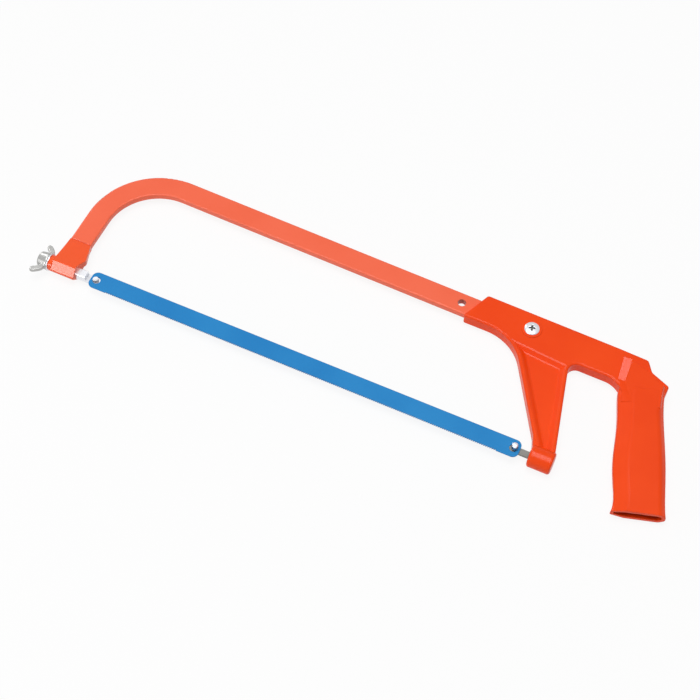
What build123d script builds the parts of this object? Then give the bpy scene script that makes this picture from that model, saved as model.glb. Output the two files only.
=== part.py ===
from build123d import *
import math
import os

# Hacksaw for 12-inch blades: a flat bar bent at the front, a die-cast handle that the bar slides into,
# and a tension rod with a wing nut.  Lengths are in millimetres and angles in degrees.
#
# Modelling frame: the saw lies on its side.  X runs along the blade towards the handle, Y from the
# blade to the bar and Z up through the saw's middle plane (Z = 0).  The centre of the front blade
# hole is the origin until the pieces are placed at the end of the file.

# ---- blade ----
blade_pitch = 300.0          # hole to hole, the nominal length of a 12-inch blade
blade_width = 12.7
blade_thickness = 0.65
blade_hole = 5.4
blade_end = 4.3              # from a hole's centre to the rounded end
blade_end_radius = 4.1
tooth_pitch = 25.4 / 18      # 18 teeth to the inch
tooth_depth = 0.9
tooth_margin = 9.0           # plain length at each end, from the hole's centre

# ---- blade pins and holders ----
pin_diameter = 4.0
front_pin_height = 2.2       # above the blade's seat
rear_pin_height = 5.6
pin_gap = 0.05               # between a pin and its hole's loaded side
pin_fit = 0.02
seat_gap = 0.05              # between the blade and its two flat seats
rod_square = 5.8
rod_thread = 5.8
rod_flat_start = -7.5        # where the square shank is cut down to the blade's seat
rod_nose = 4.6               # length of the flat beyond the pin
rod_neck = 3.0               # the square shank ends this far inside the bracket's front face
rod_tail = 9.4               # threaded length beyond the bracket's front face
holder_square = 4.3
holder_eye = 6.6             # round end under the blade, around the pin
holder_depth = 12.0          # length of the holder inside the boss
holder_fit = 0.02

# ---- frame bar ----
bar_width = 15.4
bar_thickness = 5.0
bar_edge = 1.0               # rounding of the bar's long edges
bar_height = 91.4            # centre line above the blade's line, at the front hole
bar_slope = 1.2              # the bar falls towards the handle by this angle
bend_radius = 44.0           # centre line
front_leg_x = -24.5          # centre line of the front leg
bar_tail = 11.0              # beyond the lock screw
setting_step = 50.0          # between the settings for 12-inch and 10-inch blades
lock_setback = 21.1          # the lock screw lies this far in front of the rear blade hole
lock_hole = 5.5

# ---- front bracket ----
seam_height = 22.3           # the bar meets the bracket here, above the blade's line
seam_chamfer = 0.25
bracket_half = 6.5           # half thickness at its widest
bracket_crease = -0.8        # height of the widest line
bracket_bottom = -5.8
bracket_lip = 0.9            # half thickness at the bottom edge
bracket_back = -15.0         # the end face towards the blade
bracket_lug = 2.6            # how far the lug reaches behind that face, on the upper side only
bracket_pad = 2.7            # thickness of the round pad under the washer
pad_diameter = 11.0
tunnel_gap = 0.1             # running clearance on each side of the square shank
tongue_width = 10.0
tongue_thickness = 2.6
tongue_length = 11.0
tongue_fit = 0.05

# ---- washer and wing nut ----
washer_diameter = 12.4
washer_thickness = 1.2
nut_gap = 0.05
nut_base = 12.0              # hub diameter at the washer
nut_crown = 10.2
nut_hub = 7.4                # hub length
thread_gap = 0.08            # radial clearance of the nut on the thread
wing_span = 26.6
wing_root = 8.6              # the wings' outer edge starts this far from the axis, at the washer
wing_reach = 8.4             # from the washer side to the wing tips, along the axis
wing_arm = 3.8               # width of the arm between the hub and a wing
wing_thickness = 2.4
wing_turn = 12.0             # the wings' angle from the saw's middle plane

# ---- handle ----
body_half = 4.75             # half thickness of the socket, the leg's rims and the horn
body_round = 1.4
wall_top = 4.4               # metal above the bar's upper edge
wall_low = 2.1               # metal below the bar's lower edge
socket_gap = 0.2             # sliding clearance around the bar
socket_end = 41.0            # the socket's blind end, behind the rear blade hole
mouth_lead = 66.5            # the mouth's lower corner, in front of the rear blade hole
mouth_rake = 9.5             # the mouth leans back by this much
crotch_radius = 34.0         # between the body and the leg's front edge
arch_drop = 11.2             # top of the finger opening, below the bar's centre line
finger_radius = 6.0          # between the leg's rear edge and the finger opening's top
arch_radius = 16.0           # between the finger opening's top and the grip
leg_rim = 2.2
web_half = 2.2
recess_drop_front = 12.4     # top line of the recess, below the bar's centre line, at the crotch
recess_drop_rear = 16.4      # and at the finger opening
boss_radius = 7.4
boss_front = 11.0            # boss faces, behind the rear blade hole
boss_back = 26.6
seat_diameter = 13.6         # round seat under the screw head
seat_height = 0.3
nut_boss_diameter = 14.0
grip_half = 7.5              # half thickness of the grip at the shoulder
butt_half = 5.0
grip_length = 88.0
grip_rake = 16.5             # the grip leans back from the square by this angle
grip_wall = 2.2
grip_cavity = 70.0

# ---- lock screw and nut ----
screw_thread = 5.0
head_diameter = 10.2
head_height = 1.4
nut_flats = 8.0
nut_height = 2.7
nut_floor = 1.8              # metal between the bar socket and the nut

# ---- worked out ----
slope = math.tan(math.radians(bar_slope))
play = blade_hole - pin_diameter - 2 * pin_gap
lock_x = blade_pitch - lock_setback
bracket_left = front_leg_x - bar_width / 2
bracket_front = bracket_left - bracket_pad
free_x = lock_x - setting_step


def bar_y(x):
    """Height of the bar's centre line above the blade's line."""
    return bar_height - slope * x


def bar_top(x):
    return bar_y(x) + bar_width / 2 / math.cos(math.radians(bar_slope))


def bar_low(x):
    return bar_y(x) - bar_width / 2 / math.cos(math.radians(bar_slope))


def on_bar(x):
    """A plane square to the bar's slope, on its centre line."""
    return Location((x, bar_y(x), 0), (0, 0, -bar_slope))


def block(x0, x1, y0, y1, z0, z1):
    """A box between two corners."""
    return Pos((x0 + x1) / 2, (y0 + y1) / 2, (z0 + z1) / 2) * Box(x1 - x0, y1 - y0, z1 - z0)


def rod_x(diameter, x0, x1):
    """A round bar along X."""
    return Pos(x0, 0, 0) * Rot(0, 90, 0) * Cylinder(
        diameter / 2, x1 - x0, align=(Align.CENTER, Align.CENTER, Align.MIN))


def rod_z(diameter, x, y, z0, z1):
    """A round bar along Z."""
    return Pos(x, y, z0) * Cylinder(diameter / 2, z1 - z0, align=(Align.CENTER, Align.CENTER, Align.MIN))


def long_edges(shape, axis):
    return shape.edges().filter_by(axis)


# ---- blade ----

def make_blade():
    low = -blade_width / 2
    top = blade_width / 2
    left = -blade_end
    right = blade_pitch + blade_end
    count = int((blade_pitch - 2 * tooth_margin) / tooth_pitch)
    first = (blade_pitch - count * tooth_pitch) / 2
    points = [(left, top), (left, low)]
    for i in range(count):
        x = first + i * tooth_pitch
        # The upright flank of a tooth faces the front, so the saw cuts on the push stroke.
        points += [(x, low + tooth_depth), (x, low)] if i else [(x, low)]
        points.append((x + 0.3 * tooth_pitch, low + 0.25 * tooth_depth))
    points += [(first + count * tooth_pitch, low + tooth_depth), (first + count * tooth_pitch, low)]
    points += [(right, low), (right, top)]
    outline = make_face(Polyline(*points, close=True))
    body = extrude(outline, blade_thickness)
    corners = [e for e in body.edges().filter_by(Axis.Z)
               if e.center().X < left + 0.01 or e.center().X > right - 0.01]
    body = fillet(corners, blade_end_radius)
    for x in (0, blade_pitch):
        body -= rod_z(blade_hole, x, 0, -1, blade_thickness + 1)
    return Pos(0, 0, seat_gap) * body


# The front pin pulls on the outer side of its hole and the rear pin on the outer side of the other.
front_pin_x = -(blade_hole - pin_diameter) / 2 + pin_gap
rear_pin_x = blade_pitch + (blade_hole - pin_diameter) / 2 - pin_gap


def make_pin(x, height, square):
    body = rod_z(pin_diameter, x, 0, -square / 2, height)
    return fillet(body.edges().group_by(Axis.Z)[-1], pin_diameter * 0.2)


# ---- tension rod and rear holder ----

def make_tension_rod():
    half = rod_square / 2
    shank_end = bracket_front + rod_neck
    body = block(shank_end, front_pin_x + rod_nose, -half, half, -half, half)
    body = fillet(long_edges(body, Axis.X), 0.5)
    body -= block(rod_flat_start, front_pin_x + rod_nose + 1, -half - 1, half + 1, 0, half + 1)
    nose = [e for e in body.edges().filter_by(Axis.Z) if e.center().X > front_pin_x]
    body = fillet(nose, half * 0.9)
    tail = rod_x(rod_thread, bracket_front - rod_tail, shank_end)
    body += chamfer(tail.edges().group_by(Axis.X)[0], 0.6)
    return body - rod_z(pin_diameter + 2 * pin_fit, front_pin_x, 0, -half - 1, half)


def make_rear_holder():
    half = holder_square / 2
    inner = blade_pitch + boss_front
    body = block(rear_pin_x, inner + holder_depth, -half, half, -half, half)
    body = fillet(long_edges(body, Axis.X), 0.4)
    body -= block(rear_pin_x - 1, inner - 0.6, -half - 1, half + 1, 0, half + 1)
    body += rod_z(holder_eye, rear_pin_x, 0, -half, 0)
    return body - rod_z(pin_diameter + 2 * pin_fit, rear_pin_x, 0, -half - 1, half)


# ---- frame bar ----

def bar_path():
    """The bar's centre line, from the bracket's seam to the tail inside the handle."""
    lean = math.radians(bar_slope)
    cx = front_leg_x + bend_radius
    cy = bar_y(cx) - bend_radius / math.cos(lean)
    start = (front_leg_x, seam_height)
    bend_in = (front_leg_x, cy)
    middle = math.radians(135 - bar_slope / 2)
    bend_mid = (cx + bend_radius * math.cos(middle), cy + bend_radius * math.sin(middle))
    bend_out = (cx + bend_radius * math.sin(lean), cy + bend_radius * math.cos(lean))
    tail_x = lock_x + bar_tail
    return Wire([Line(start, bend_in), ThreePointArc(bend_in, bend_mid, bend_out),
                 Line(bend_out, (tail_x, bar_y(tail_x)))])


def make_frame_bar():
    start = Plane(origin=(front_leg_x, seam_height, 0), x_dir=(1, 0, 0), z_dir=(0, 1, 0))
    section = start * RectangleRounded(bar_width, bar_thickness, bar_edge)
    body = sweep(section, path=bar_path())
    body = chamfer(body.faces().sort_by(Axis.Y)[0].edges(), seam_chamfer)
    body += block(front_leg_x - tongue_width / 2, front_leg_x + tongue_width / 2,
                  seam_height - tongue_length, seam_height + 1, -tongue_thickness / 2, tongue_thickness / 2)
    for x in (free_x, lock_x):
        body -= rod_z(lock_hole, x, bar_y(x), -bar_thickness, bar_thickness)
    return body


# ---- front bracket ----

def make_front_bracket():
    top_half = bar_thickness / 2
    left = bracket_left
    right = front_leg_x + bar_width / 2
    middle = (seam_height + bracket_crease) / 2
    seam_up = (seam_height, top_half)
    crease_up = (bracket_crease, bracket_half)
    lip_up = (bracket_bottom, bracket_lip)
    seam_down = (seam_height, -top_half)
    crease_down = (bracket_crease, -bracket_half)
    lip_down = (bracket_bottom, -bracket_lip)
    swell = (top_half + bracket_half) / 2 - 0.35
    side = make_face(Wire([
        Line(seam_down, seam_up), ThreePointArc(seam_up, (middle, swell), crease_up),
        Line(crease_up, lip_up), Line(lip_up, lip_down), Line(lip_down, crease_down),
        ThreePointArc(crease_down, (middle, -swell), seam_down)]))
    # The side view is drawn in Y and Z and pulled along X.
    side_plane = Plane(origin=(left, 0, 0), x_dir=(0, 1, 0), z_dir=(1, 0, 0))
    body = extrude(side_plane * side, bracket_back + bracket_lug - left)
    body = fillet(body.edges().filter_by(Axis.X), 0.8)
    low = bracket_bottom - 1
    upper = make_face(FilletPolyline(
        (left, seam_height), (left, low), (bracket_back, low), (bracket_back, 2.2),
        (bracket_back + bracket_lug, 8.2), (right, seam_height),
        radius=[0, 0, 0, 3.0, 4.0, 0], close=True))
    lower = make_face(FilletPolyline(
        (left, seam_height), (left, low), (bracket_back, low), (bracket_back, 2.2),
        (bracket_back - 0.4, 9.0), (right, seam_height),
        radius=[0, 0, 0, 5.0, 8.0, 0], close=True))
    body &= extrude(upper, bracket_half + 1) + extrude(lower, -bracket_half - 1)
    pad = rod_x(pad_diameter, bracket_front, left)
    body += chamfer(pad.edges().group_by(Axis.X)[0], 0.5)
    hole = rod_square + 2 * tunnel_gap
    body -= block(bracket_front - 1, bracket_back + bracket_lug + 1, -hole / 2, hole / 2, -hole / 2, hole / 2)
    pocket_half = tongue_width / 2 + tongue_fit
    body -= block(front_leg_x - pocket_half, front_leg_x + pocket_half,
                  seam_height - tongue_length - tongue_fit, seam_height + 1,
                  -tongue_thickness / 2 - tongue_fit, tongue_thickness / 2 + tongue_fit)
    return body


# ---- washer and wing nut ----

def make_washer():
    return (rod_x(washer_diameter, bracket_front - washer_thickness, bracket_front)
            - rod_x(rod_thread + 0.6, bracket_front - washer_thickness - 1, bracket_front + 1))


def make_wing_nut():
    base = bracket_front - washer_thickness - nut_gap
    hub = Pos(base, 0, 0) * Rot(0, -90, 0) * Cone(
        nut_base / 2, nut_crown / 2, nut_hub, align=(Align.CENTER, Align.CENTER, Align.MIN))
    hub = fillet(hub.edges().group_by(Axis.X)[0], 0.8)
    tip_x = base - wing_reach
    reach = wing_span / 2
    ear = make_face(FilletPolyline(
        (base - 0.6, 3.0), (base - 0.6, wing_root), (tip_x + 2.6, reach), (tip_x + 0.2, reach - 0.3),
        (tip_x, reach - 3.0), (base - wing_arm - 0.8, wing_root - 1.4), (base - wing_arm, 3.0),
        radius=[0, 2.4, 1.3, 1.3, 1.3, 2.0, 0], close=True))
    wing = Pos(0, 0, -wing_thickness / 2) * extrude(ear, wing_thickness)
    wing = fillet(wing.edges().group_by(Axis.Z)[0] + wing.edges().group_by(Axis.Z)[-1], 0.6)
    nut = hub + wing + Rot(180, 0, 0) * wing
    nut -= rod_x(rod_thread + 2 * thread_gap, base - nut_hub - 2, base + 1)
    return Rot(-wing_turn, 0, 0) * nut


# ---- handle ----

def off_bar(x, drop):
    """A point behind the rear blade hole, below the bar's centre line."""
    return (blade_pitch + x, bar_y(blade_pitch + x) - drop)


def leg_front(y):
    """The leg's front edge: X at a height above the blade's line."""
    return blade_pitch + 8.2 - (y - 12.0) * math.tan(math.radians(30.7))


def leg_rear(y):
    return blade_pitch + 24.2 - (y - 12.0) * math.tan(math.radians(13.2))


def grip_plane(along):
    """The plane across the grip, at a distance from its top; its local X points to the back."""
    lean = math.radians(grip_rake)
    top = off_bar(61.4, 11.0)
    origin = (top[0] + along * math.sin(lean), top[1] - along * math.cos(lean), 0)
    return Plane(origin=origin, x_dir=(math.cos(lean), math.sin(lean), 0),
                 z_dir=(math.sin(lean), -math.cos(lean), 0))


# How the grip swells along its length: share of the length, front edge, rear edge.
grip_stations = [(0.0, 16.4, 13.4), (0.09, 16.6, 13.0), (0.28, 16.0, 13.7), (0.5, 16.9, 15.3),
                 (0.75, 16.4, 16.2), (1.0, 16.9, 17.2)]
grip_ridge = 9.0             # the soft ridge lies this far behind the front edge


def grip_section(along, inset):
    share, front, rear = along
    half = butt_half + (grip_half - butt_half) * (1 - share)
    edge = 0.42 * half
    outline = FilletPolyline(
        (-front, edge), (-front + grip_ridge, half), (rear - 3.6, half), (rear, edge),
        (rear, -edge), (rear - 3.6, -half), (-front + grip_ridge, -half), (-front, -edge),
        radius=[1.6, 5.0, 4.0, 1.6, 1.6, 4.0, 5.0, 1.6], close=True)
    if inset:
        outline = FilletPolyline(
            (-front + inset, edge * 0.6), (-front + grip_ridge, half - inset), (rear - 4.2, half - inset),
            (rear - inset, edge * 0.6), (rear - inset, -edge * 0.6), (rear - 4.2, inset - half),
            (-front + grip_ridge, inset - half), (-front + inset, -edge * 0.6),
            radius=[0.5, 4.0, 2.0, 0.5, 0.5, 2.0, 4.0, 0.5], close=True)
    return grip_plane(share * grip_length) * make_face(outline)


def make_grip():
    return loft([grip_section(s, 0) for s in grip_stations])


def make_grip_cavity():
    stations = [s for s in grip_stations if (1 - s[0]) * grip_length < grip_cavity]
    inner = loft([grip_section(s, grip_wall) for s in stations])
    last = grip_stations[-1]
    mouth = extrude(grip_section(last, grip_wall), 2.0)
    return inner + mouth


def make_plate():
    """Body, leg, horn and the root of the grip, as one plate."""
    arch_y = bar_y(blade_pitch + 20) - arch_drop
    low = bar_low(blade_pitch - 50) - wall_low
    crotch = (leg_front(low), low)
    mouth_x = -mouth_lead
    top = lambda x: (blade_pitch + x, bar_top(blade_pitch + x) + wall_top)
    points = [
        (blade_pitch + mouth_x, bar_low(blade_pitch + mouth_x) - wall_low),
        top(mouth_x + mouth_rake),
        top(37.0),
        off_bar(47.0, -11.9),
        off_bar(56.6, -11.7),
        off_bar(61.6, -4.2),
        off_bar(75.0, 1.2),
        off_bar(74.6, 9.4),
        off_bar(78.0, 26.0),
        off_bar(55.0, 33.0),
        off_bar(45.4, arch_drop),
        (leg_rear(arch_y), arch_y),
        (leg_rear(2.0), 2.0),
        (blade_pitch + 12.2, 0.0),
        (leg_front(12.0), 12.0),
        crotch,
    ]
    radii = [1.2, 2.0, 10.0, 8.0, 2.6, 4.0, 1.8, 16.0, 0, 0, arch_radius, finger_radius, 0, 0, 10.0,
             crotch_radius]
    outline = make_face(FilletPolyline(*points, radius=radii, close=True))
    body = Pos(0, 0, -body_half) * extrude(outline, 2 * body_half)
    rims = body.edges().group_by(Axis.Z)[0] + body.edges().group_by(Axis.Z)[-1]
    return fillet(rims, body_round)


def make_shoulder():
    """The step from the plate up to the thicker grip, one sloped block for each side."""
    wide = [off_bar(50.3, 25.2), off_bar(48.0, 18.0), off_bar(41.8, 10.0), off_bar(39.8, -7.6),
            off_bar(61.0, -2.6), off_bar(73.6, 3.4), off_bar(74.2, 10.0), off_bar(76.4, 21.0)]
    narrow = [off_bar(60.5, 23.0), off_bar(54.4, 17.6), off_bar(50.2, 12.4), off_bar(48.4, -5.0),
              off_bar(60.4, -0.6), off_bar(70.6, 4.8), off_bar(71.6, 10.6), off_bar(73.8, 20.0)]
    tall = grip_half + 1.2
    low = Pos(0, 0, body_half - 2.0) * make_face(Polyline(*wide, close=True))
    rim = Pos(0, 0, body_half - 0.6) * make_face(Polyline(*wide, close=True))
    high = Pos(0, 0, tall) * make_face(Polyline(*narrow, close=True))
    block_up = loft([rim, high], ruled=True) + extrude(low, 1.4)
    # The grip's flat face runs on over the shoulder.
    rise = math.degrees(math.atan((grip_half - butt_half) / grip_length))
    at_top = grip_plane(0)
    flat = Plane(origin=(at_top.origin.X, at_top.origin.Y, grip_half - 0.12), x_dir=at_top.x_dir,
                 z_dir=(0, 0, 1)).rotated((rise, 0, 0))
    block_up -= flat * Pos(0, 0, 20) * Box(200, 200, 40)
    return block_up + mirror(block_up, about=Plane.XY)


# The recess's profile: height above the middle plane, distance from the leg's edge.
recess_profile = [(web_half, 6.1), (web_half + 0.3, 5.2), (body_half - 0.4, 2.9), (body_half, 1.9),
                  (body_half + 0.2, 1.4)]


def recess_section(level, inset):
    """The recess's outline at a height above the middle plane; it widens upwards."""
    front = inset / math.cos(math.radians(30.7))
    rear = inset / math.cos(math.radians(13.2))
    under = bar_low(blade_pitch - 30) - wall_low + inset
    over = bar_y(blade_pitch + 20) - arch_drop + inset
    foot = boss_radius - 0.9 - (level - web_half) * 0.6
    far_left = blade_pitch - 60
    far_right = blade_pitch + 40
    outline = make_face(FilletPolyline(
        (leg_front(foot) + front, foot), (leg_front(under) + front, under), (far_left, under),
        (far_left, under + 12), (far_right, under + 12), (far_right, over), (leg_rear(over) - rear, over),
        (leg_rear(foot) - rear, foot),
        radius=[0, crotch_radius + inset, 0, 0, 0, 0, finger_radius + inset, 0], close=True))
    drop = inset - leg_rim
    below = make_face(Polyline(
        off_bar(-40.0, recess_drop_front + drop), off_bar(15.0, recess_drop_rear + drop),
        (blade_pitch + 30.0, foot - 1), (blade_pitch - 40.0, foot - 1), close=True))
    return Pos(0, 0, level) * (outline & below).faces()[0]


def make_recess():
    """The pocket between the leg's rims, one for each side, running down into the boss."""
    pocket = loft([recess_section(*stage) for stage in recess_profile], ruled=True)
    return pocket + mirror(pocket, about=Plane.XY)


def make_handle():
    body = make_plate() + make_grip() + make_shoulder()
    body -= make_recess()
    boss = rod_x(2 * boss_radius, blade_pitch + boss_front, blade_pitch + boss_back)
    boss = fillet(boss.edges().filter_by(GeomType.CIRCLE), 1.6)
    body += boss
    lock_y = bar_y(lock_x)
    body += rod_z(seat_diameter, lock_x, lock_y, body_half - 1, body_half + seat_height)
    nut_face = -(bar_thickness / 2 + socket_gap + nut_floor + nut_height)
    body += rod_z(nut_boss_diameter, lock_x, lock_y, nut_face, 0)
    # The socket for the bar, open at the mouth and blind behind the lock screw's second setting.
    length = blade_pitch + socket_end - (blade_pitch - mouth_lead - 6)
    mid = blade_pitch + socket_end - length / 2
    body -= on_bar(mid) * Box(length, bar_width + 2 * socket_gap, bar_thickness + 2 * socket_gap)
    body -= make_grip_cavity()
    body -= rod_z(lock_hole, lock_x, lock_y, nut_face - 1, body_half + 2)
    pocket = Pos(lock_x, lock_y, nut_face - 1) * extrude(
        RegularPolygon(nut_flats / 2 + 0.05, 6, major_radius=False), nut_height + 1)
    body -= pocket
    hole = holder_square + 2 * holder_fit
    body -= block(blade_pitch + boss_front - 2, blade_pitch + boss_front + holder_depth + holder_fit,
                  -hole / 2, hole / 2, -hole / 2, hole / 2)
    return body


# ---- lock screw and nut ----

def make_lock_screw():
    lock_y = bar_y(lock_x)
    under = body_half + seat_height
    end = -(bar_thickness / 2 + socket_gap + nut_floor + nut_height)
    head = rod_z(head_diameter, lock_x, lock_y, under, under + head_height)
    head = fillet(head.edges().group_by(Axis.Z)[-1], head_height * 0.7)
    slot = Pos(lock_x, lock_y, under + head_height) * (Box(4.6, 1.1, 2.2) + Box(1.1, 4.6, 2.2))
    return head - slot + rod_z(screw_thread, lock_x, lock_y, end, under)


def make_lock_nut():
    lock_y = bar_y(lock_x)
    end = -(bar_thickness / 2 + socket_gap + nut_floor + nut_height)
    body = Pos(lock_x, lock_y, end) * extrude(RegularPolygon(nut_flats / 2, 6, major_radius=False), nut_height)
    return body - rod_z(screw_thread + 0.1, lock_x, lock_y, end - 1, end + nut_height + 1)


pieces = {
    "handle": make_handle(),
    "frame_bar": make_frame_bar(),
    "front_bracket": make_front_bracket(),
    "tension_rod": make_tension_rod(),
    "front_pin": make_pin(front_pin_x, front_pin_height, rod_square),
    "washer": make_washer(),
    "wing_nut": make_wing_nut(),
    "blade": make_blade(),
    "rear_holder": make_rear_holder(),
    "rear_pin": make_pin(rear_pin_x, rear_pin_height, holder_square),
    "lock_screw": make_lock_screw(),
    "lock_nut": make_lock_nut(),
}

# The part's own origin is the bottom centre of its bounding box.
boxes = [piece.bounding_box() for piece in pieces.values()]
middle_x = (min(b.min.X for b in boxes) + max(b.max.X for b in boxes)) / 2
middle_y = (min(b.min.Y for b in boxes) + max(b.max.Y for b in boxes)) / 2
home = Location((-middle_x, -middle_y, -min(b.min.Z for b in boxes)))

os.makedirs("parts", exist_ok=True)
for name, piece in pieces.items():
    export_step(home * piece, f"parts/{name}.step")
print("origin moved by", home.position)
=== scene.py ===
"""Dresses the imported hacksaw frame: paint, plating and the small cast and turned pieces."""

import logging
import math
from dataclasses import dataclass, field
from enum import Enum

import bpy
from mathutils import Matrix, Vector

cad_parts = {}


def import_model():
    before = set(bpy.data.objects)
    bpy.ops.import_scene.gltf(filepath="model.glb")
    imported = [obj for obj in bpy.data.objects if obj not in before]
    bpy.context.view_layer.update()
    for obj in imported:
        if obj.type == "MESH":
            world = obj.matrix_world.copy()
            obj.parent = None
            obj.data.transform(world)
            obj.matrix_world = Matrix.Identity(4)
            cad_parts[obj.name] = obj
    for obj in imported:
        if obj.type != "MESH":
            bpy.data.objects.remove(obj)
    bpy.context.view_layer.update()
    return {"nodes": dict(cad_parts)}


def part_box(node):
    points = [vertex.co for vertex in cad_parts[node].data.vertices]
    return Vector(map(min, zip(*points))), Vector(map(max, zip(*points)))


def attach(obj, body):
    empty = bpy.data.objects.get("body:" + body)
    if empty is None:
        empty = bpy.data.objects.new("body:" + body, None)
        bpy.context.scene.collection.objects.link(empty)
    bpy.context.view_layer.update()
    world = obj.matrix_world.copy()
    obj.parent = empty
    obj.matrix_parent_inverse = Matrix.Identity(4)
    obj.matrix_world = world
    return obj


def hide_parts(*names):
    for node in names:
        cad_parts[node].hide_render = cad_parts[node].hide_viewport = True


LOG = logging.getLogger("hacksaw")
MM = 0.001

Pair = tuple[float, float]
Profile = tuple[Pair, ...]


# ---------------------------------------------------------------- finishes


def to_linear(colour: tuple[int, int, int]) -> tuple[float, float, float, float]:
    """Turns an 8-bit display colour into the linear colour that shaders use.

    Args:
        colour: Red, green and blue from 0 to 255.

    Returns:
        Linear red, green, blue and an alpha of 1.
    """
    shares = [c / 255 for c in colour]
    linear = [s / 12.92 if s <= 0.04045 else ((s + 0.055) / 1.055) ** 2.4 for s in shares]
    return (linear[0], linear[1], linear[2], 1.0)


class Skin(Enum):
    """How a surface's fine relief is laid."""

    EVEN = "even"
    LINED = "lined"


@dataclass(frozen=True)
class Finish:
    """What paint and plate share.

    The colour and its shade mix in soft patches, and the roughness varies by the spread on either
    side of it. The relief has a noise scale and a height, and the finish rounds an edge over by the
    radius given, both in metres.
    """

    name: str
    colour: tuple[int, int, int]
    shade: tuple[int, int, int]
    roughness: float
    relief_scale: float
    relief_height: float
    skin: Skin = Skin.EVEN
    spread: Pair = (-0.05, 0.05)
    edge: float = 0.0

    def tune(self, shader: bpy.types.Node) -> None:
        """Sets the values that are the same all over the surface."""
        raise NotImplementedError


@dataclass(frozen=True)
class Paint(Finish):
    """A stoved paint over metal."""

    edge: float = 0.6 * MM
    specular: float = 0.2
    coat: float = 0.25
    coat_roughness: float = 0.18

    def tune(self, shader: bpy.types.Node) -> None:
        """Sets the paint's gloss and its clear coat."""
        shader.inputs["Specular IOR Level"].default_value = self.specular
        shader.inputs["Coat Weight"].default_value = self.coat
        shader.inputs["Coat Roughness"].default_value = self.coat_roughness


@dataclass(frozen=True)
class Plate(Finish):
    """Bare or plated metal."""

    skin: Skin = Skin.LINED
    spread: Pair = (-0.06, 0.08)
    metallic: float = 1.0

    def tune(self, shader: bpy.types.Node) -> None:
        """Sets how metallic the plate is."""
        shader.inputs["Metallic"].default_value = self.metallic


HANDLE_PAINT = Paint("handle_paint", (255, 77, 12), (250, 71, 6), 0.36, 900.0, 0.000025, specular=0.1)
BAR_PAINT = Paint("bar_paint", (255, 112, 78), (252, 107, 72), 0.32, 500.0, 0.00003)
BRACKET_PAINT = Paint("bracket_paint", (255, 86, 14), (250, 78, 8), 0.34, 800.0, 0.000018, coat=0.5)
BLADE_PAINT = Paint("blade_paint", (34, 138, 206), (24, 130, 200), 0.42, 1200.0, 0.00001, coat=0.1)
BRIGHT_ZINC = Plate("bright_zinc", (236, 237, 241), (218, 220, 226), 0.3, 1400.0, 0.000008)
CAST_ZINC = Plate(
    "cast_zinc", (180, 180, 178), (150, 150, 148), 0.36, 700.0, 0.00003, skin=Skin.EVEN, metallic=0.9
)
# Dark steel: the rear holder's own finish, and also painted shade inside the lock screw's cross recess.
DARK_STEEL_AND_RECESS_SHADE = Plate("dark_steel", (126, 126, 122), (96, 94, 90), 0.42, 1000.0, 0.00002, metallic=0.85)


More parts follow.
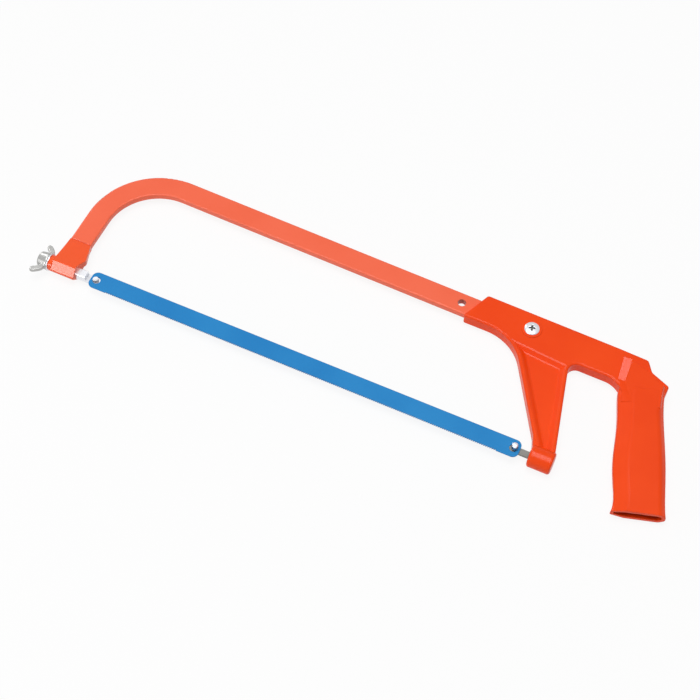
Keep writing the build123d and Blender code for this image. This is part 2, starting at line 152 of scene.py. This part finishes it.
@dataclass(frozen=True)
class Relief:
    """The noises, and the occlusion mask that paints shade into hollows, that every finish is made with.
    """

    tone_scale: float = 22.0
    tone_detail: float = 3.0
    tone_range: Pair = (0.36, 0.64)
    fine_detail: float = 4.0
    fine_roughness: float = 0.55
    line_stretch: tuple[float, float, float] = (0.06, 1.0, 1.0)
    gloss_scale: float = 110.0
    gloss_detail: float = 2.0
    # Ambient occlusion that paints shade into hollows: its reach, its samples and the span that becomes
    # the mask.
    painted_shade_reach: float = 10 * MM
    painted_shade_samples: int = 8
    painted_shade_range: Pair = (0.15, 0.62)

    def group(self, name: str, skin: Skin) -> bpy.types.NodeTree:
        """Makes the node group of one skin.

        Args:
            name: The group's name.
            skin: Whether the fine noise is even or drawn out into lines.

        Returns:
            The group, with inputs Vector and Size. Its outputs are Tone, which mixes the colours,
            Gloss, which varies the roughness, Height for the bump, and last the ambient occlusion mask,
            which is 0 in a hollow and paints shade into the colour there.
        """
        tree = bpy.data.node_groups.new(name, "ShaderNodeTree")
        tree.interface.new_socket("Vector", in_out="INPUT", socket_type="NodeSocketVector")
        tree.interface.new_socket("Size", in_out="INPUT", socket_type="NodeSocketFloat")
        for output in ("Tone", "Gloss", "Height", "Unshaded"):
            tree.interface.new_socket(output, in_out="OUTPUT", socket_type="NodeSocketFloat")
        nodes, links = tree.nodes, tree.links
        given, out = nodes.new("NodeGroupInput"), nodes.new("NodeGroupOutput")
        place = given.outputs["Vector"]
        broad = self._noise(tree, place, self.tone_detail)
        broad.inputs["Scale"].default_value = self.tone_scale
        self._stretch_range(tree, broad.outputs["Fac"], self.tone_range, out.inputs["Tone"])
        fine_place = place
        if skin is Skin.LINED:
            pulled = nodes.new("ShaderNodeMapping")
            pulled.inputs["Scale"].default_value = self.line_stretch
            links.new(place, pulled.inputs["Vector"])
            fine_place = pulled.outputs["Vector"]
        fine = self._noise(tree, fine_place, self.fine_detail)
        fine.inputs["Roughness"].default_value = self.fine_roughness
        links.new(given.outputs["Size"], fine.inputs["Scale"])
        links.new(fine.outputs["Fac"], out.inputs["Height"])
        gloss = self._noise(tree, place, self.gloss_detail)
        gloss.inputs["Scale"].default_value = self.gloss_scale
        links.new(gloss.outputs["Fac"], out.inputs["Gloss"])
        # Painted shade: ambient occlusion marks the hollows where the colour is darkened.
        shade_occlusion = nodes.new("ShaderNodeAmbientOcclusion")
        shade_occlusion.samples = self.painted_shade_samples
        shade_occlusion.only_local = True
        shade_occlusion.inputs["Distance"].default_value = self.painted_shade_reach
        self._stretch_range(tree, shade_occlusion.outputs["AO"], self.painted_shade_range, out.inputs["Unshaded"])
        return tree

    @staticmethod
    def _noise(tree: bpy.types.NodeTree, place: bpy.types.NodeSocket, detail: float) -> bpy.types.Node:
        """Adds a noise that reads the given place."""
        noise = tree.nodes.new("ShaderNodeTexNoise")
        noise.inputs["Detail"].default_value = detail
        tree.links.new(place, noise.inputs["Vector"])
        return noise

    @staticmethod
    def _stretch_range(
        tree: bpy.types.NodeTree, value: bpy.types.NodeSocket, span: Pair, to: bpy.types.NodeSocket
    ) -> None:
        """Stretches the span of a value to the whole range from 0 to 1.

        Args:
            tree: The group that is being made.
            value: The value to stretch.
            span: What becomes 0 and what becomes 1.
            to: The socket that takes the stretched value.
        """
        spread = tree.nodes.new("ShaderNodeMapRange")
        spread.inputs["From Min"].default_value, spread.inputs["From Max"].default_value = span
        tree.links.new(value, spread.inputs["Value"])
        tree.links.new(spread.outputs["Result"], to)


@dataclass
class ShaderKit:
    """Builds the shared node groups once, and each finish's material once."""

    relief: Relief = Relief()
    # How dark the painted shade in hollows gets, as a share of the finish's darker tone.
    painted_shade_level: float = 0.22
    bump_strength: float = 0.6
    edge_samples: int = 6
    made: dict[str, bpy.types.Material] = field(default_factory=dict)
    groups: dict[Skin, bpy.types.NodeTree] = field(init=False)

    def __post_init__(self) -> None:
        """Makes the two shared groups."""
        names = {Skin.EVEN: "paint_relief", Skin.LINED: "metal_relief"}
        self.groups = {skin: self.relief.group(name, skin) for skin, name in names.items()}

    def material(self, finish: Finish) -> bpy.types.Material:
        """Gives a finish's material, and makes it the first time."""
        if finish.name not in self.made:
            self.made[finish.name] = self._make(finish)
        return self.made[finish.name]

    def _make(self, finish: Finish) -> bpy.types.Material:
        """Makes the material of one finish.

        Args:
            finish: The finish.

        Returns:
            Its material, with the relief group wired into colour, roughness and normal.
        """
        material = bpy.data.materials.new(finish.name)
        material.use_nodes = True
        nodes, links = material.node_tree.nodes, material.node_tree.links
        shader = nodes["Principled BSDF"]
        place = nodes.new("ShaderNodeTexCoord")
        relief = nodes.new("ShaderNodeGroup")
        relief.node_tree = self.groups[finish.skin]
        relief.inputs["Size"].default_value = finish.relief_scale
        links.new(place.outputs["Object"], relief.inputs["Vector"])
        self._colour(material, relief, finish)
        dull = nodes.new("ShaderNodeMapRange")
        for limit, step in zip(("To Min", "To Max"), finish.spread):
            dull.inputs[limit].default_value = finish.roughness + step
        links.new(relief.outputs["Gloss"], dull.inputs["Value"])
        links.new(dull.outputs["Result"], shader.inputs["Roughness"])
        bump = nodes.new("ShaderNodeBump")
        bump.inputs["Strength"].default_value = self.bump_strength
        bump.inputs["Distance"].default_value = finish.relief_height
        if finish.edge:
            edge = nodes.new("ShaderNodeBevel")
            edge.samples = self.edge_samples
            edge.inputs["Radius"].default_value = finish.edge
            links.new(edge.outputs["Normal"], bump.inputs["Normal"])
        links.new(relief.outputs["Height"], bump.inputs["Height"])
        links.new(bump.outputs["Normal"], shader.inputs["Normal"])
        finish.tune(shader)
        return material

    def _colour(self, material: bpy.types.Material, relief: bpy.types.Node, finish: Finish) -> None:
        """Mixes a finish's two colours and paints shade over them in hollows.

        Args:
            material: The material that is being made.
            relief: Its relief group.
            finish: The finish.
        """
        nodes, links = material.node_tree.nodes, material.node_tree.links
        shade, colour = to_linear(finish.shade), to_linear(finish.colour)
        tone = nodes.new("ShaderNodeMix")
        tone.data_type = "RGBA"
        tone.inputs["A"].default_value, tone.inputs["B"].default_value = shade, colour
        links.new(relief.outputs["Tone"], tone.inputs["Factor"])
        # Painted shade: the colour falls towards a dim copy of the darker tone where the occlusion mask
        # finds a hollow.
        painted_shade_mix = nodes.new("ShaderNodeMix")
        painted_shade_mix.data_type = "RGBA"
        painted_shade_mix.inputs["A"].default_value = tuple(c * self.painted_shade_level for c in shade[:3]) + (1.0,)
        links.new(tone.outputs["Result"], painted_shade_mix.inputs["B"])
        links.new(relief.outputs["Unshaded"], painted_shade_mix.inputs["Factor"])
        links.new(painted_shade_mix.outputs["Result"], nodes["Principled BSDF"].inputs["Base Color"])


def dress(piece: bpy.types.Object, material: bpy.types.Material) -> None:
    """Gives a piece one material all over."""
    piece.data.materials.clear()
    piece.data.materials.append(material)


# ---------------------------------------------------------------- modelling steps


def shares(radius: float, level: float, profile: Profile) -> list[Pair]:
    """Gives the rings of a profile in shares of a radius and millimetres above a level."""
    return [(radius * share, level + step * MM) for share, step in profile]


def offsets(radius: float, level: float, profile: Profile) -> list[Pair]:
    """Gives the rings of a profile in millimetres beyond a radius and above a level."""
    return [(radius + out * MM, level + step * MM) for out, step in profile]


def turned_over(profile: Profile) -> Profile:
    """Gives the profile of a piece's top end from that of its bottom end."""
    return tuple((out, -step) for out, step in reversed(profile))


class Bench:
    """Small modelling steps shared by the turned, pressed and cast pieces."""

    @staticmethod
    def clear() -> None:
        """Deselects everything before a new piece is started."""
        bpy.ops.object.select_all(action="DESELECT")

    @staticmethod
    def take(piece: bpy.types.Object) -> None:
        """Selects one piece alone and makes it the active one."""
        Bench.clear()
        piece.select_set(True)
        bpy.context.view_layer.objects.active = piece

    @staticmethod
    def settle(piece: bpy.types.Object) -> None:
        """Writes a piece's place and turn into its mesh."""
        Bench.take(piece)
        bpy.ops.object.transform_apply(location=True, rotation=True, scale=True)

    @staticmethod
    def place(piece: bpy.types.Object, at: Vector, turn: tuple[float, float, float] = (0, 0, 0)) -> None:
        """Moves a piece from the origin to its seat and writes the move into its mesh."""
        piece.location = at
        piece.rotation_euler = turn
        Bench.settle(piece)

    @staticmethod
    def pick_end(piece: bpy.types.Object, way: int) -> None:
        """Picks one end face of a piece and opens it in edit mode.

        Edges and corners that are already selected stay so: see the known fault in turned.

        Args:
            piece: The active piece.
            way: 1 for the face that looks up, -1 for the one that looks down.
        """
        for polygon in piece.data.polygons:
            polygon.select = polygon.normal.z * way > 0.9
        bpy.ops.object.mode_set(mode="EDIT")
        bpy.ops.mesh.select_mode(type="FACE")

    @staticmethod
    def turned(name: str, rings: list[Pair], sides: int = 64, start: float = 0.0) -> bpy.types.Object:
        """Models a turned piece around Z by drawing its end face up ring by ring.

        Known fault: a new cylinder is selected all over, and only its faces are deselected before
        the draw, so its edges and corners are drawn too. Turned meshes carry stray faces for it,
        and the front pin, which is made first, is a stack of separate thin discs.

        Args:
            name: The piece's name.
            rings: Radius and height of each ring, from the bottom up, in metres.
            sides: How many sides a ring has.
            start: The height of the short cylinder that it is drawn up from. Without one, the
                cylinder reaches the second ring, which then has the radius of the first.

        Returns:
            The piece, with its axis on the world's Z axis.
        """
        radius, low = rings[0]
        if start:
            rings = [(radius, low), (radius, low + start), *rings[1:]]
        height = rings[1][1]
        Bench.clear()
        bpy.ops.mesh.primitive_cylinder_add(
            vertices=sides, radius=radius, depth=height - low, location=(0, 0, low + (height - low) / 2)
        )
        piece = bpy.context.object
        piece.name = name
        Bench.settle(piece)
        Bench.pick_end(piece, 1)
        for wide, level in rings[2:]:
            bpy.ops.mesh.extrude_region_move(TRANSFORM_OT_translate={"value": (0, 0, level - height)})
            if wide != radius:
                share = wide / radius
                bpy.ops.transform.resize(value=(share, share, 1), center_override=(0, 0, level))
            radius, height = wide, level
        bpy.ops.object.mode_set(mode="OBJECT")
        return piece

    @staticmethod
    def plate(name: str, outline: list[Pair], thick: float) -> bpy.types.Object:
        """Models a flat plate in the YZ plane by dragging a disc's corners to its outline.

        Args:
            name: The piece's name.
            outline: Y and Z of each corner, in metres.
            thick: The plate's thickness, half on each side of the plane.

        Returns:
            The closed plate.
        """
        Bench.clear()
        upright = (math.radians(90), 0, math.radians(90))
        bpy.ops.mesh.primitive_circle_add(
            vertices=len(outline), radius=MM, fill_type="NGON", rotation=upright
        )
        piece = bpy.context.object
        piece.name = name
        Bench.settle(piece)
        for index, (y, z) in enumerate(outline):
            for vertex in piece.data.vertices:
                vertex.select = vertex.index == index
            for other in (*piece.data.edges, *piece.data.polygons):
                other.select = False
            move = Vector((0, y, z)) - piece.data.vertices[index].co
            bpy.ops.object.mode_set(mode="EDIT")
            bpy.ops.mesh.select_mode(type="VERT")
            bpy.ops.transform.translate(value=move)
            bpy.ops.object.mode_set(mode="OBJECT")
        bpy.ops.object.mode_set(mode="EDIT")
        bpy.ops.mesh.select_all(action="SELECT")
        bpy.ops.transform.translate(value=(-thick / 2, 0, 0))
        bpy.ops.mesh.extrude_region_move(TRANSFORM_OT_translate={"value": (thick, 0, 0)})
        bpy.ops.mesh.select_all(action="SELECT")
        bpy.ops.mesh.normals_make_consistent(inside=False)
        bpy.ops.object.mode_set(mode="OBJECT")
        return piece

    @staticmethod
    def cut(piece: bpy.types.Object, tool: bpy.types.Object, action: str = "DIFFERENCE") -> None:
        """Cuts, overlaps or joins a piece with a tool, and removes the tool.

        Args:
            piece: The piece that is kept.
            tool: The piece that is used up.
            action: DIFFERENCE, INTERSECT or UNION.
        """
        Bench.take(piece)
        boolean = piece.modifiers.new("cut", "BOOLEAN")
        boolean.operation = action
        boolean.solver = "EXACT"
        boolean.object = tool
        bpy.ops.object.modifier_apply(modifier=boolean.name)
        bpy.data.objects.remove(tool, do_unlink=True)

    @staticmethod
    def join(piece: bpy.types.Object, other: bpy.types.Object) -> None:
        """Makes another piece part of this one."""
        Bench.take(piece)
        other.select_set(True)
        bpy.ops.object.join()

    @staticmethod
    def melt(piece: bpy.types.Object, cell: float, passes: int) -> None:
        """Lets the forms of a piece run into each other, as in a casting.

        Args:
            piece: The piece, which may be several closed shells.
            cell: The side of the even cells of its new skin.
            passes: How often the skin is smoothed.
        """
        Bench.take(piece)
        skin = piece.modifiers.new("skin", "REMESH")
        skin.mode = "VOXEL"
        skin.voxel_size = cell
        bpy.ops.object.modifier_apply(modifier=skin.name)
        flow = piece.modifiers.new("flow", "SMOOTH")
        flow.factor = 0.5
        flow.iterations = passes
        bpy.ops.object.modifier_apply(modifier=flow.name)

    @staticmethod
    def polish(piece: bpy.types.Object, angle: float = 35.0) -> None:
        """Shades a piece smoothly, except over its sharp edges."""
        Bench.take(piece)
        bpy.ops.object.shade_smooth_by_angle(angle=math.radians(angle))


# ---------------------------------------------------------------- modelled pieces


@dataclass
class SmallPart:
    """A piece that takes the place of its CAD node, because its look comes from how it is made.

    Lengths are in metres. A profile is a list of rings, with heights in millimetres, and radii in
    shares of the piece's own radius or in millimetres beyond it.
    """

    kit: ShaderKit
    node: str
    body: str = "frame"
    finish: Finish = BRIGHT_ZINC
    low: Vector = field(init=False)
    high: Vector = field(init=False)
    middle: Vector = field(init=False)

    def __post_init__(self) -> None:
        """Looks up where the CAD node is."""
        self.low, self.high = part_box(self.node)
        self.middle = (self.low + self.high) / 2

    def build(self) -> bpy.types.Object:
        """Models the piece, dresses it, hides its CAD node and lets it ride on its body."""
        piece = self.shape()
        Bench.polish(piece)
        dress(piece, self.kit.material(self.finish))
        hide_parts(self.node)
        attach(piece, self.body)
        return piece

    def shape(self) -> bpy.types.Object:
        """Models the piece in its place."""
        raise NotImplementedError

    def upright_size(self) -> Pair:
        """Gives the radius and the height of a piece that stands on end."""
        return (self.high.x - self.low.x) / 2, self.high.z - self.low.z

    def stand(self, piece: bpy.types.Object) -> None:
        """Stands a piece on the floor of its box, in the middle."""
        Bench.place(piece, Vector((self.middle.x, self.middle.y, self.low.z)))


@dataclass
class Pin(SmallPart):
    """A blade pin with a domed end."""

    start: float = 0.06 * MM
    foot: Profile = ((0.96, 0.0), (1.0, 0.3))
    dome: Profile = ((1.0, -0.85), (0.96, -0.52), (0.84, -0.26), (0.64, -0.1), (0.36, -0.02), (0.1, 0.0))

    def shape(self) -> bpy.types.Object:
        """Turns the pin and stands it in its hole."""
        radius, tall = self.upright_size()
        rings = shares(radius, 0, self.foot) + shares(radius, tall, self.dome)
        pin = Bench.turned(self.node + "_turned", rings, start=self.start)
        self.stand(pin)
        return pin


@dataclass
class LockScrew(SmallPart):
    """The lock screw: shank, low domed head and tapered cross recess."""

    sides: int = 96
    shank: float = 2.5 * MM
    head_height: float = 1.4 * MM
    start: float = 0.05 * MM
    tip: Profile = ((0.84, 0.0), (1.0, 0.5))
    rim: Profile = ((0.97, 0.0), (1.0, 0.12), (1.0, 0.4))
    dome: Profile = ((0.97, -0.78), (0.87, -0.45), (0.7, -0.2), (0.45, -0.05), (0.2, 0.0))
    arm: tuple[float, float, float] = (6.0 * MM, 1.45 * MM, 2.0 * MM)
    arm_drop: float = 0.2 * MM
    arm_taper: Pair = (0.5, 0.62)
    # How far the cross is turned from the saw's length, in degrees.
    cross_turn: float = 14.0
    # How far out from the axis and how deep the faces reach that take the painted recess shade.
    painted_recess_shade_reach: float = 2.9 * MM
    painted_recess_shade_depths: Pair = (1.3 * MM, 0.16 * MM)
    cell: float = 0.11 * MM
    passes: int = 4

    def build(self) -> bpy.types.Object:
        """Models and dresses the screw, and paints shade into its recess with the dark steel material.
        """
        screw = super().build()
        # Painted shade: the faces inside the cross recess take the dark steel material, which stands in
        # for the shade in the deep recess.
        screw.data.materials.append(self.kit.material(DARK_STEEL_AND_RECESS_SHADE))
        floor, mouth = (self.high.z - depth for depth in self.painted_recess_shade_depths)
        for polygon in screw.data.polygons:
            out = (polygon.center - self.middle).xy.length
            if floor < polygon.center.z < mouth and out < self.painted_recess_shade_reach:
                polygon.material_index = 1
        return screw

    def shape(self) -> bpy.types.Object:
        """Turns the screw, presses its recess and stands it in the handle."""
        head, tall = self.upright_size()
        under = tall - self.head_height
        rings = shares(self.shank, 0, self.tip) + [(self.shank, under)]
        rings += shares(head, under, self.rim) + shares(head, tall, self.dome)
        screw = Bench.turned("lock_screw_turned", rings, self.sides, self.start)
        cross = self._arm(tall, self.cross_turn)
        Bench.cut(cross, self._arm(tall, self.cross_turn + 90), "UNION")
        Bench.cut(screw, cross)
        Bench.melt(screw, self.cell, self.passes)
        self.stand(screw)
        return screw

    def _arm(self, tall: float, turn: float) -> bpy.types.Object:
        """Models one arm of the punch that presses the recess.

        Args:
            tall: The height of the screw's top.
            turn: The arm's turn about the screw, in degrees.

        Returns:
            The arm, narrower at its foot.
        """
        Bench.clear()
        bpy.ops.mesh.primitive_cube_add(size=1, location=(0, 0, tall - self.arm_drop), scale=self.arm)
        arm = bpy.context.object
        Bench.settle(arm)
        bpy.ops.object.mode_set(mode="EDIT")
        bpy.ops.mesh.select_all(action="DESELECT")
        bpy.ops.object.mode_set(mode="OBJECT")
        Bench.pick_end(arm, -1)
        bpy.ops.transform.resize(value=(*self.arm_taper, 1), center_override=(0, 0, tall))
        bpy.ops.object.mode_set(mode="OBJECT")
        Bench.place(arm, Vector((0, 0, 0)), (0, 0, math.radians(turn)))
        return arm


@dataclass
class LockNut(SmallPart):
    """The lock nut: a hexagon with chamfered corners and a countersunk bore."""

    start: float = 0.001 * MM
    chamfer: Profile = ((0.86, 0.0), (1.02, 0.42))
    bore: float = 2.55 * MM
    sink: Profile = ((1.14, -0.02), (1.14, 0.0), (1.0, 0.34))

    def shape(self) -> bpy.types.Object:
        """Presses the nut, chamfers and bores it, and puts it in its pocket."""
        corner, tall = self.upright_size()
        Bench.clear()
        across = (0, 0, math.radians(90))
        bpy.ops.mesh.primitive_cylinder_add(
            vertices=6, radius=corner, depth=tall, location=(0, 0, tall / 2), rotation=across
        )
        nut = bpy.context.object
        nut.name = "lock_nut_pressed"
        Bench.settle(nut)
        rings = shares(corner, 0, self.chamfer) + shares(corner, tall, turned_over(self.chamfer))
        Bench.cut(nut, Bench.turned("chamfer", rings, start=self.start), "INTERSECT")
        rings = shares(self.bore, 0, self.sink) + shares(self.bore, tall, turned_over(self.sink))
        Bench.cut(nut, Bench.turned("bore", rings))
        self.stand(nut)
        return nut


@dataclass
class Washer(SmallPart):
    """The stamped washer with its rounded rim."""

    sides: int = 72
    start: float = 0.004 * MM
    rim: Profile = ((-0.3, 0.0), (-0.08, 0.12), (0.0, 0.34))
    bore: float = 3.2 * MM

    def shape(self) -> bpy.types.Object:
        """Stamps the washer and hangs it in front of the bracket."""
        radius, thick = (self.high.y - self.low.y) / 2, self.high.x - self.low.x
        rings = offsets(radius, 0, self.rim) + offsets(radius, thick, turned_over(self.rim))
        washer = Bench.turned("washer_stamped", rings, self.sides, self.start)
        Bench.cut(washer, Bench.turned("bore", [(self.bore, -MM), (self.bore, thick + MM)]))
        at = Vector((self.low.x, self.middle.y, self.middle.z))
        Bench.place(washer, at, (0, math.radians(90), 0))
        return washer


@dataclass
class WingNut(SmallPart):
    """The die-cast wing nut: hub and swept wings that flow into each other."""

    sides: int = 96
    base: float = 6.0 * MM
    crown: float = 5.1 * MM
    hub: float = 7.4 * MM
    start: float = 0.02 * MM
    base_edge: Profile = ((-0.5, 0.0), (-0.1, 0.3), (0.0, 0.8))
    crown_edge: Profile = ((0.1, -0.9), (-0.15, -0.4), (-0.7, 0.0))
    bore: float = 2.98 * MM
    wing_thick: float = 2.6 * MM
    # One wing's corners, out from the axis and up from the base, in millimetres.
    wing_under: Profile = ((2.4, 0.7), (6.4, 0.7), (8.8, 1.2), (10.6, 2.7), (12.2, 4.6), (13.1, 6.0))
    wing_tip: Profile = ((13.2, 7.1), (12.8, 8.0), (11.8, 8.3), (10.7, 8.2))
    wing_over: Profile = ((9.7, 7.3), (8.7, 5.9), (7.4, 4.9), (6.0, 4.5), (2.4, 4.3))
    # How far the wings' plane leans from the saw's middle plane, in degrees.
    lean: float = -12.0
    cell: float = 0.22 * MM
    passes: int = 5

    def shape(self) -> bpy.types.Object:
        """Casts the nut, bores it and hangs it on the rod."""
        rings = offsets(self.base, 0, self.base_edge) + offsets(self.crown, self.hub, self.crown_edge)
        nut = Bench.turned("wing_nut_cast", rings, self.sides, self.start)
        Bench.join(nut, self._wings())
        Bench.melt(nut, self.cell, self.passes)
        Bench.cut(nut, Bench.turned("bore", [(self.bore, -MM), (self.bore, self.hub + MM)]))
        Bench.place(nut, Vector((0, 0, 0)), (0, math.radians(-90), 0))
        at = Vector((self.high.x, self.middle.y, self.middle.z))
        Bench.place(nut, at, (math.radians(self.lean), 0, 0))
        return nut

    def _wings(self) -> bpy.types.Object:
        """Models one wing and mirrors it to the other side of the hub."""
        outline = [(y * MM, z * MM) for y, z in self.wing_under + self.wing_tip + self.wing_over]
        wing = Bench.plate("wing", outline, self.wing_thick)
        mirror = wing.modifiers.new("other_wing", "MIRROR")
        mirror.use_axis = (False, True, False)
        bpy.ops.object.modifier_apply(modifier=mirror.name)
        return wing


# ---------------------------------------------------------------- studio


class Reach(Enum):
    """What a lamp lights."""

    ALL = "all"
    GLOSS = "gloss"
    BODY = "body"


@dataclass(frozen=True)
class Lamp:
    """One square lamp, which may light only the gloss or only the body colour."""

    name: str
    place: tuple[float, float, float]
    side: float
    power: float
    lights: Reach = Reach.ALL


@dataclass
class Studio:
    """The floor, the sky, the lamps and the camera, with angles in degrees."""

    floor_side: float = 6.0
    floor_white: float = 0.9
    floor_roughness: float = 0.9
    floor_glow: float = 0.9
    sky_level: float = 0.24
    # What the sky adds for metal that mirrors it, and for the camera.
    sky_gains: tuple[tuple[str, float], ...] = (("Is Glossy Ray", 0.54), ("Is Camera Ray", 0.72))
    lens: float = 80.2
    sensor: float = 36.0
    azimuth: float = 23.18
    elevation: float = 58.0
    roll: float = 1.73
    distance: float = 1.019
    # From the middle of the blade to the point that the camera looks at.
    aim: Pair = (0.0264, 0.0226)
    lamps: tuple[Lamp, ...] = (
        Lamp("front", (-0.1, -0.1, 1.95), 1.2, 26.3),
        Lamp("key", (-1.33, 0.96, 0.96), 0.4, 4.6, Reach.GLOSS),
        Lamp("low", (-0.9, -1.59, 0.64), 0.5, 9.4, Reach.GLOSS),
        Lamp("fill", (-0.55, -0.7, 0.38), 0.5, 1.3, Reach.BODY),
    )

    def build(self) -> None:
        """Places everything that is not part of the saw."""
        self._floor()
        self._world()
        for lamp in self.lamps:
            self._hang(lamp)
        self._camera()

    def _floor(self) -> None:
        """Makes the white floor that keeps a soft shadow."""
        bpy.ops.mesh.primitive_plane_add(size=self.floor_side, location=(0, 0, 0))
        floor = bpy.context.object
        floor.name = "floor"
        material = bpy.data.materials.new("floor_white")
        material.use_nodes = True
        nodes, links = material.node_tree.nodes, material.node_tree.links
        shader = nodes["Principled BSDF"]
        white = self.floor_white
        shader.inputs["Base Color"].default_value = (white, white, white, 1)
        shader.inputs["Roughness"].default_value = self.floor_roughness
        shader.inputs["Specular IOR Level"].default_value = 0.0
        glow = nodes.new("ShaderNodeEmission")
        glow.inputs["Strength"].default_value = 1.0
        mix = nodes.new("ShaderNodeMixShader")
        path = nodes.new("ShaderNodeLightPath")
        seen = nodes.new("ShaderNodeMath")
        seen.operation = "MAXIMUM"
        links.new(path.outputs["Is Camera Ray"], seen.inputs[0])
        links.new(path.outputs["Is Glossy Ray"], seen.inputs[1])
        share = nodes.new("ShaderNodeMath")
        share.operation = "MULTIPLY"
        share.inputs[1].default_value = self.floor_glow
        links.new(seen.outputs[0], share.inputs[0])
        links.new(share.outputs[0], mix.inputs["Fac"])
        links.new(shader.outputs["BSDF"], mix.inputs[1])
        links.new(glow.outputs["Emission"], mix.inputs[2])
        links.new(mix.outputs["Shader"], nodes["Material Output"].inputs["Surface"])
        floor.data.materials.append(material)

    def _world(self) -> None:
        """Lights everything evenly from a pale sky, which metal and the camera see brighter."""
        world = bpy.data.worlds.new("studio")
        bpy.context.scene.world = world
        world.use_nodes = True
        nodes, links = world.node_tree.nodes, world.node_tree.links
        sky = nodes["Background"]
        sky.inputs["Color"].default_value = (1, 1, 1, 1)
        path = nodes.new("ShaderNodeLightPath")
        level = None
        for ray, gain in self.sky_gains:
            add = nodes.new("ShaderNodeMath")
            add.operation = "MULTIPLY_ADD"
            add.inputs[1].default_value = gain
            add.inputs[2].default_value = self.sky_level
            links.new(path.outputs[ray], add.inputs[0])
            if level:
                links.new(level.outputs[0], add.inputs[2])
            level = add
        links.new(level.outputs[0], sky.inputs["Strength"])

    @staticmethod
    def _hang(lamp: Lamp) -> None:
        """Hangs one lamp so that it faces the saw.

        Args:
            lamp: The lamp.
        """
        light = bpy.data.lights.new(lamp.name, "AREA")
        light.shape = "SQUARE"
        light.size = lamp.side
        light.energy = lamp.power
        hung = bpy.data.objects.new(lamp.name, light)
        bpy.context.scene.collection.objects.link(hung)
        hung.location = lamp.place
        hung.rotation_euler = (-Vector(lamp.place)).to_track_quat("-Z", "Y").to_euler()
        hung.visible_diffuse = lamp.lights is not Reach.GLOSS
        hung.visible_glossy = lamp.lights is not Reach.BODY

    def _camera(self) -> None:
        """Looks down on the saw's side from the blade's side."""
        azimuth, elevation, roll = (math.radians(a) for a in (self.azimuth, self.elevation, self.roll))
        level = math.cos(elevation)
        ahead = Vector((-math.sin(azimuth) * level, math.cos(azimuth) * level, -math.sin(elevation)))
        right = Vector((math.cos(azimuth), math.sin(azimuth), 0))
        up = right.cross(ahead)
        tilted_right = right * math.cos(roll) + up * math.sin(roll)
        tilted_up = up * math.cos(roll) - right * math.sin(roll)
        low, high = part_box("blade")
        middle = (low + high) / 2
        target = Vector((middle.x + self.aim[0], middle.y + self.aim[1], low.z))
        camera = bpy.data.objects.new("camera", bpy.data.cameras.new("camera"))
        bpy.context.scene.collection.objects.link(camera)
        camera.data.lens = self.lens
        camera.data.sensor_width = self.sensor
        turn = Matrix((tilted_right, tilted_up, -ahead)).transposed().to_4x4()
        camera.matrix_world = Matrix.Translation(target - ahead * self.distance) @ turn
        bpy.context.scene.camera = camera
        bpy.context.scene.view_settings.view_transform = "Standard"


# ---------------------------------------------------------------- the saw


def main() -> None:
    """Loads the frame, dresses it, models the small pieces and lights them all."""
    logging.basicConfig(level=logging.INFO, format="%(message)s")
    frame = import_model()
    nodes = frame["nodes"]
    kit = ShaderKit()
    finishes: dict[str, Finish] = {
        "handle": HANDLE_PAINT,
        "frame_bar": BAR_PAINT,
        "front_bracket": BRACKET_PAINT,
        "blade": BLADE_PAINT,
        "tension_rod": BRIGHT_ZINC,
        "front_pin": BRIGHT_ZINC,
        "rear_pin": BRIGHT_ZINC,
        "washer": BRIGHT_ZINC,
        "lock_screw": BRIGHT_ZINC,
        "lock_nut": BRIGHT_ZINC,
        "wing_nut": CAST_ZINC,
        "rear_holder": DARK_STEEL_AND_RECESS_SHADE,
    }
    for name, finish in finishes.items():
        dress(nodes[name], kit.material(finish))
        LOG.info("%s is finished in %s", name, finish.name)
    parts = (
        Pin(kit, "front_pin", "tensioner"),
        Pin(kit, "rear_pin"),
        LockScrew(kit, "lock_screw"),
        LockNut(kit, "lock_nut"),
        Washer(kit, "washer"),
        WingNut(kit, "wing_nut", "wing_nut", CAST_ZINC),
    )
    for part in parts:
        piece = part.build()
        LOG.info("%s takes the place of %s and rides on %s", piece.name, part.node, part.body)
    Studio().build()


if __name__ == "__main__":
    main()
